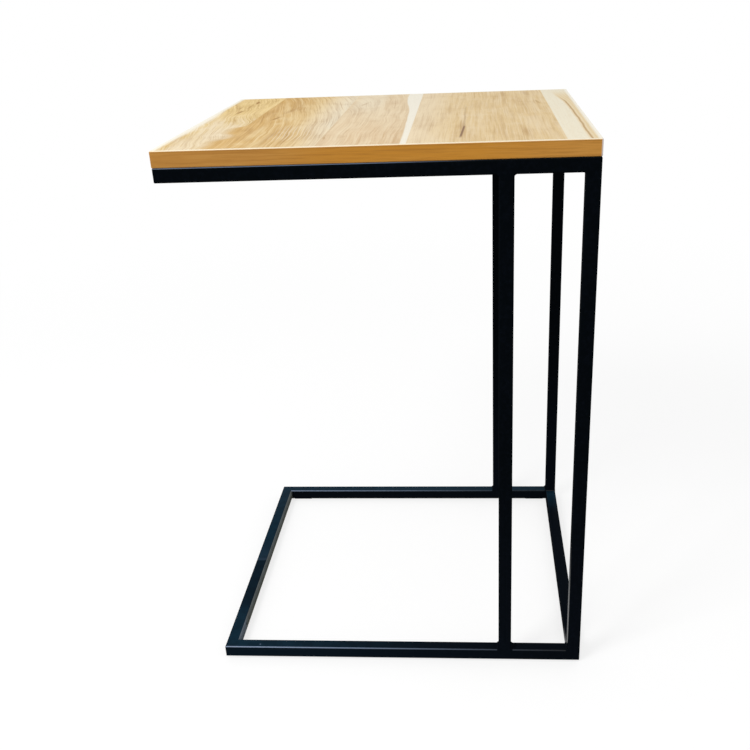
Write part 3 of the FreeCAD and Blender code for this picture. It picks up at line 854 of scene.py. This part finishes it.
def settle(made):
    """Replaces an object's mesh by the result of its modifiers, and removes them."""
    bpy.context.view_layer.update()
    graph = bpy.context.evaluated_depsgraph_get()
    plain = bpy.data.meshes.new_from_object(made.evaluated_get(graph))
    made.modifiers.clear()
    made.data = plain


def smooth_below(made, degrees):
    """Shades an object smooth, save across edges sharper than the angle."""
    shape = bmesh.new()
    shape.from_mesh(made.data)
    for face in shape.faces:
        face.smooth = True
    for edge in shape.edges:
        edge.smooth = not edge.is_manifold or edge.calc_face_angle() < math.radians(degrees)
    shape.to_mesh(made.data)
    shape.free()


def screw_outline(fixing, reach):
    """A screw with its head below: (radius, height) points from the head's crown to the tip."""
    dome_steps, dome_share, dome_fullness = 6, 0.72, 0.8
    neck, point = 1.2 * MM, 3.4 * MM
    root_end, crest = 0.45, 0.72
    tip_radius, tip_height = 0.25 * MM, 0.1 * MM

    head, tall, pitch = fixing.head_radius, fixing.head_height, fixing.thread_pitch
    outline = [(0, 0)]
    for step in range(1, dome_steps + 1):
        angle = math.pi / 2 * step / dome_steps
        height = tall * dome_share * (1 - math.cos(angle))
        outline.append((head * math.sin(angle) ** dome_fullness, height))
    outline += [(head, tall), (fixing.thread_radius, tall)]
    height, thread_end = tall + neck, reach - point
    while height + pitch < thread_end:
        outline += [
            (fixing.shank_radius, height),
            (fixing.shank_radius, height + pitch * root_end),
            (fixing.thread_radius, height + pitch * crest),
        ]
        height += pitch
    outline += [(fixing.shank_radius, thread_end), (tip_radius, reach - tip_height), (0, reach)]
    return outline


def cross_cutter(fixing):
    """The driver's cross: two arms that taper from below the crown up into the head."""
    levels = ((-1 * MM, 1.25), (fixing.recess_depth, 0.55))
    untapered = 0.4
    shape = bmesh.new()
    for turn in (0, math.pi / 2):
        points = []
        for height, taper in levels:
            half_span = fixing.recess_span / 2 * taper
            half_width = fixing.recess_width / 2 * (untapered + (1 - untapered) * taper)
            for side_x, side_y in ((-1, -1), (1, -1), (1, 1), (-1, 1)):
                place = Vector((side_x * half_span, side_y * half_width, height))
                points.append(shape.verts.new(Matrix.Rotation(turn, 3, "Z") @ place))
        low, high = points[:4], points[4:]
        shape.faces.new(reversed(low))
        shape.faces.new(high)
        for step in range(4):
            after = (step + 1) % 4
            shape.faces.new((low[step], low[after], high[after], high[step]))
    bmesh.ops.recalc_face_normals(shape, faces=shape.faces)
    return shape


def screw_pattern(fixing, spread, seat, material):
    """A node tree that sets the incoming screw at a rectangle's corners, each turned by chance.

    The tree comes with its inputs' values, by the sockets' identifiers.
    """
    tree = bpy.data.node_groups.new("four_screws", "GeometryNodeTree")
    sizes = {}
    tree.interface.new_socket("Screw", in_out="INPUT", socket_type="NodeSocketGeometry")
    for label, kind, size in (
        ("Spread X", "NodeSocketFloat", spread[0]),
        ("Spread Y", "NodeSocketFloat", spread[1]),
        ("Seat", "NodeSocketFloat", seat),
        ("Seed", "NodeSocketInt", fixing.seed),
    ):
        socket = tree.interface.new_socket(label, in_out="INPUT", socket_type=kind)
        sizes[socket.identifier] = size
    tree.interface.new_socket("Screws", in_out="OUTPUT", socket_type="NodeSocketGeometry")

    nodes = Nodes(tree)

    def given(label):
        return nodes.node("NodeGroupInput", output=label)

    grid = nodes.node("GeometryNodeMeshGrid", {
        "Size X": given("Spread X"), "Size Y": given("Spread Y"), "Vertices X": 2, "Vertices Y": 2,
    })
    turn = nodes.node(
        "FunctionNodeRandomValue", {1: (0, 0, math.tau), "Seed": given("Seed")},
        data_type="FLOAT_VECTOR",
    )
    scattered = nodes.node("GeometryNodeInstanceOnPoints", {
        "Points": grid, "Instance": given("Screw"), "Rotation": turn,
    })
    lift = nodes.node("ShaderNodeCombineXYZ", {"Z": given("Seat")})
    seated = nodes.node("GeometryNodeTranslateInstances", {
        "Instances": scattered, "Translation": lift,
    })
    real = nodes.node("GeometryNodeRealizeInstances", {"Geometry": seated})
    plated = nodes.node("GeometryNodeSetMaterial", {"Geometry": real, "Material": material})
    nodes.node("NodeGroupOutput", {"Screws": plated})
    return tree, sizes


# ---------------- operators


class SIDETABLE_OT_board_top(bpy.types.Operator):
    """Print the oak planks on the board's upper face."""

    bl_idname = "side_table.board_top"
    bl_label = "Board top"

    def execute(self, context):
        dress(["top_laminate"], OakPrint(context.scene.side_table_decor).material())
        return {"FINISHED"}


class SIDETABLE_OT_edge_bands(bpy.types.Operator):
    """Give the four edge bands their wood print and pale arrises."""

    bl_idname = "side_table.edge_bands"
    bl_label = "Edge bands"

    def execute(self, context):
        band = context.scene.side_table_band
        dress([f"edge_band_{side}" for side in SIDES], edge_band_finish("band_along", band, True))
        dress([f"edge_band_{end}" for end in ENDS], edge_band_finish("band_across", band, False))
        return {"FINISHED"}


class SIDETABLE_OT_board_inside(bpy.types.Operator):
    """Finish the chipboard core and the balancing sheet."""

    bl_idname = "side_table.board_inside"
    bl_label = "Board core and backing"

    def execute(self, context):
        inside = context.scene.side_table_inside
        dress(["board_core"], chipboard_finish(inside))
        dress(["underside_liner"], liner_finish(inside))
        return {"FINISHED"}


class SIDETABLE_OT_tubes(bpy.types.Operator):
    """Powder-coat the rails and the posts."""

    bl_idname = "side_table.tubes"
    bl_label = "Rails and posts"

    def execute(self, context):
        rails = [f"{ring}_rail_{edge}" for ring in RINGS for edge in SIDES + ENDS]
        posts = [f"{kind}_post_{side}" for kind in ("corner", "inner") for side in SIDES]
        dress(rails + posts, powder_coat_finish("powder_coat", context.scene.side_table_paint))
        return {"FINISHED"}


class SIDETABLE_OT_welds(bpy.types.Operator):
    """Powder-coat the weld fillets, whose ripples show through the coat."""

    bl_idname = "side_table.welds"
    bl_label = "Welds"

    def execute(self, context):
        paint = context.scene.side_table_paint
        welds = [f"{ring}_{kind}_welds" for ring in RINGS for kind in ("post", "corner")]
        dress(welds, powder_coat_finish("coated_weld", paint, paint.bead_depth))
        return {"FINISHED"}


class SIDETABLE_OT_screws(bpy.types.Operator):
    """Model the four cross-recessed screws under the top ring's end rails."""

    bl_idname = "side_table.screws"
    bl_label = "Screws"

    def execute(self, context):
        fixing = context.scene.side_table_fixing
        low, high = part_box("top_screws")
        outline = screw_outline(fixing, high.z - low.z)
        screws = new_object("dressed_screws", turned(outline, segments=28))
        cutter = new_object("cross_cutter", cross_cutter(fixing))
        cut = screws.modifiers.new("Cross recess", "BOOLEAN")
        cut.object = cutter
        cut.solver = "EXACT"
        cut.use_self = True
        settle(screws)
        bpy.data.objects.remove(cutter)
        smooth_below(screws, 35)
        head_width = 2 * fixing.head_radius
        spread = (high.x - low.x - head_width, high.y - low.y - head_width)
        tree, sizes = screw_pattern(fixing, spread, low.z, screw_steel_finish(fixing))
        pattern = screws.modifiers.new("Four screws", "NODES")
        pattern.node_group = tree
        for identifier, size in sizes.items():
            pattern[identifier] = size
        settle(screws)
        if len(screws.data.polygons) == 0:
            raise RuntimeError("the screws came out empty")
        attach(screws, "root")
        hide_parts("top_screws")
        return {"FINISHED"}


class SIDETABLE_OT_pads(bpy.types.Operator):
    """Model the floor pads with softened edges, and finish them as dense foam."""

    bl_idname = "side_table.pads"
    bl_label = "Floor pads"

    def execute(self, context):
        pad = context.scene.side_table_pad
        foam = pad_finish(pad)
        for name in [f"foot_pad_{side}_{end}" for side in SIDES for end in ENDS]:
            shape = bmesh.new()
            shape.from_mesh(NODES[name].data)
            bmesh.ops.remove_doubles(shape, verts=shape.verts, dist=0.01 * MM)
            piece = new_object(f"dressed_{name}", shape)
            soften = piece.modifiers.new("Soft edge", "BEVEL")
            soften.width = pad.soft_edge
            soften.segments = 3
            settle(piece)
            piece.data.materials.clear()
            piece.data.materials.append(foam)
            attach(piece, "root")
            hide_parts(name)
        return {"FINISHED"}


class SIDETABLE_OT_stage(bpy.types.Operator):
    """Set the floor, the world, the lamp and the camera."""

    bl_idname = "side_table.stage"
    bl_label = "Stage"

    def execute(self, context):
        stage = context.scene.side_table_stage
        self.lay_floor(stage)
        self.light_world(context.scene, stage)
        self.hang_lamp(stage)
        self.set_camera(stage)
        context.scene.view_settings.view_transform = "Standard"
        return {"FINISHED"}

    def lay_floor(self, stage):
        """A wide pale floor that shows near white and keeps the table's shadow."""
        floor_radius, fade_start, fade_end = 9, 0.7, 2.2
        shape = bmesh.new()
        bmesh.ops.create_circle(shape, cap_ends=True, segments=96, radius=floor_radius)
        floor = new_object("studio_floor", shape)
        finish = new_finish("studio_floor")
        tone = stage.floor_tone
        glow_level = 1 - tone * stage.floor_light
        matt = finish.node("ShaderNodeBsdfDiffuse", {"Color": (tone, tone, tone, 1)})
        seen = self.seen_directly(finish)
        glow = finish.node("ShaderNodeEmission", {"Strength": seen * glow_level})
        near = finish.node("ShaderNodeAddShader", {0: matt, 1: glow})
        white = finish.node("ShaderNodeEmission", {"Strength": seen})
        x, y, _ = finish.place()
        fade = ((x * x + y * y).root() * MM).rise(fade_start, fade_end)
        surface = finish.node("ShaderNodeMixShader", {0: fade, 1: near, 2: white})
        finish.node("ShaderNodeOutputMaterial", {"Surface": surface})
        floor.data.materials.append(finish.owner)

    def seen_directly(self, finish):
        """1 for camera, glossy and transmission rays, 0 for the rays that light surfaces."""
        camera, glossy, through = (
            finish.node("ShaderNodeLightPath", output=f"Is {kind} Ray")
            for kind in ("Camera", "Glossy", "Transmission")
        )
        return camera.most(glossy).most(through)

    def light_world(self, scene, stage):
        """White to the eye and in reflections, and an even soft light on surfaces."""
        scene.world = bpy.data.worlds.new("studio_world")
        finish = Finish(scene.world)
        seen = self.seen_directly(finish)
        level = stage.sky_level + seen * (1 - stage.sky_level)
        sky = finish.node("ShaderNodeBackground", {"Color": (1, 1, 1, 1), "Strength": level})
        finish.node("ShaderNodeOutputWorld", {"Surface": sky})

    def hang_lamp(self, stage):
        """One soft key lamp, in front of the table, up to the left."""
        aim = Vector((0, 0, 0.4))
        away = Vector((-0.50, -0.55, 0.72)).normalized() * 2.3
        lamp = bpy.data.lights.new("key_lamp", "AREA")
        lamp.energy = stage.key_power
        lamp.shape = "RECTANGLE"
        lamp.size = lamp.size_y = 0.7
        key = place_in_scene("key_lamp", lamp)
        key.location = aim + away
        key.rotation_euler = (-away).to_track_quat("-Z", "Y").to_euler()

    def set_camera(self, stage):
        """A camera a little above the table's top, shifted to frame it."""
        lens = bpy.data.cameras.new("studio_camera")
        lens.lens = stage.lens
        lens.sensor_width = 36
        lens.shift_x = stage.shift_across
        lens.shift_y = stage.shift_up
        camera = place_in_scene("studio_camera", lens)
        camera.location = stage.camera_place
        camera.rotation_euler = Euler(stage.camera_turn)
        bpy.context.scene.camera = camera


OPERATORS = (
    SIDETABLE_OT_board_top,
    SIDETABLE_OT_edge_bands,
    SIDETABLE_OT_board_inside,
    SIDETABLE_OT_tubes,
    SIDETABLE_OT_welds,
    SIDETABLE_OT_screws,
    SIDETABLE_OT_pads,
    SIDETABLE_OT_stage,
)

SETTINGS = {
    "side_table_decor": OakDecorSettings,
    "side_table_band": EdgeBandSettings,
    "side_table_inside": BoardInsideSettings,
    "side_table_paint": FramePaintSettings,
    "side_table_fixing": FixingSettings,
    "side_table_pad": PadSettings,
    "side_table_stage": StageSettings,
}


class VIEW3D_PT_side_table(bpy.types.Panel):
    """A button for each group of pieces and for the stage, and the settings that they use."""

    bl_label = "Side Table"
    bl_space_type = "VIEW_3D"
    bl_region_type = "UI"
    bl_category = "Side Table"

    def draw(self, context):
        for operator in OPERATORS:
            self.layout.operator(operator.bl_idname)
        for name, group in SETTINGS.items():
            box = self.layout.box()
            box.label(text=group.__doc__)
            for setting in group.__annotations__:
                box.prop(getattr(context.scene, name), setting)


def register():
    for group in SETTINGS.values():
        bpy.utils.register_class(group)
    for name, group in SETTINGS.items():
        setattr(bpy.types.Scene, name, bpy.props.PointerProperty(type=group))
    for kind in (*OPERATORS, VIEW3D_PT_side_table):
        bpy.utils.register_class(kind)


def unregister():
    for kind in (VIEW3D_PT_side_table, *reversed(OPERATORS)):
        bpy.utils.unregister_class(kind)
    for name in SETTINGS:
        delattr(bpy.types.Scene, name)
    for group in reversed(list(SETTINGS.values())):
        bpy.utils.unregister_class(group)


def main():
    register()
    bpy.ops.side_table.board_top()
    bpy.ops.side_table.edge_bands()
    bpy.ops.side_table.board_inside()
    bpy.ops.side_table.tubes()
    bpy.ops.side_table.welds()
    bpy.ops.side_table.screws()
    bpy.ops.side_table.pads()
    bpy.ops.side_table.stage()


if __name__ == "__main__":
    main()
